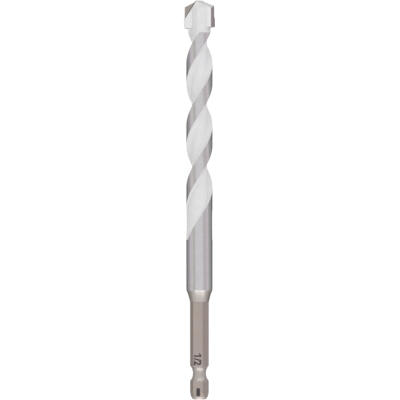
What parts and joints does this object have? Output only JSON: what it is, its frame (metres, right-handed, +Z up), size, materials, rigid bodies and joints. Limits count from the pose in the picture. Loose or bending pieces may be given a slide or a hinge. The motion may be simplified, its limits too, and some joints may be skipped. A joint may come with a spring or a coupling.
{
  "type": "multi-material drill bit",
  "caption": "Drill bit with a quick-change hex shank, a plain neck, helical flutes and a brazed carbide tip.",
  "frame": {"origin": "on the surface the bit lies on, below its axis, halfway between the end of the shank and the point", "axes": "+Y runs along the bit's axis from the shank to the point, +Z is up from the surface, and +X is to the right as seen from above with the point away from the viewer"},
  "size_m": [0.012, 0.1524, 0.01],
  "materials": {
    "steel": "satin",
    "carbide": "ground",
    "braze": "satin"
  },
  "bodies": {
    "root": {"steel_body": "steel", "carbide_tip": "carbide", "braze_joint": "braze"}
  },
  "joints": []
}
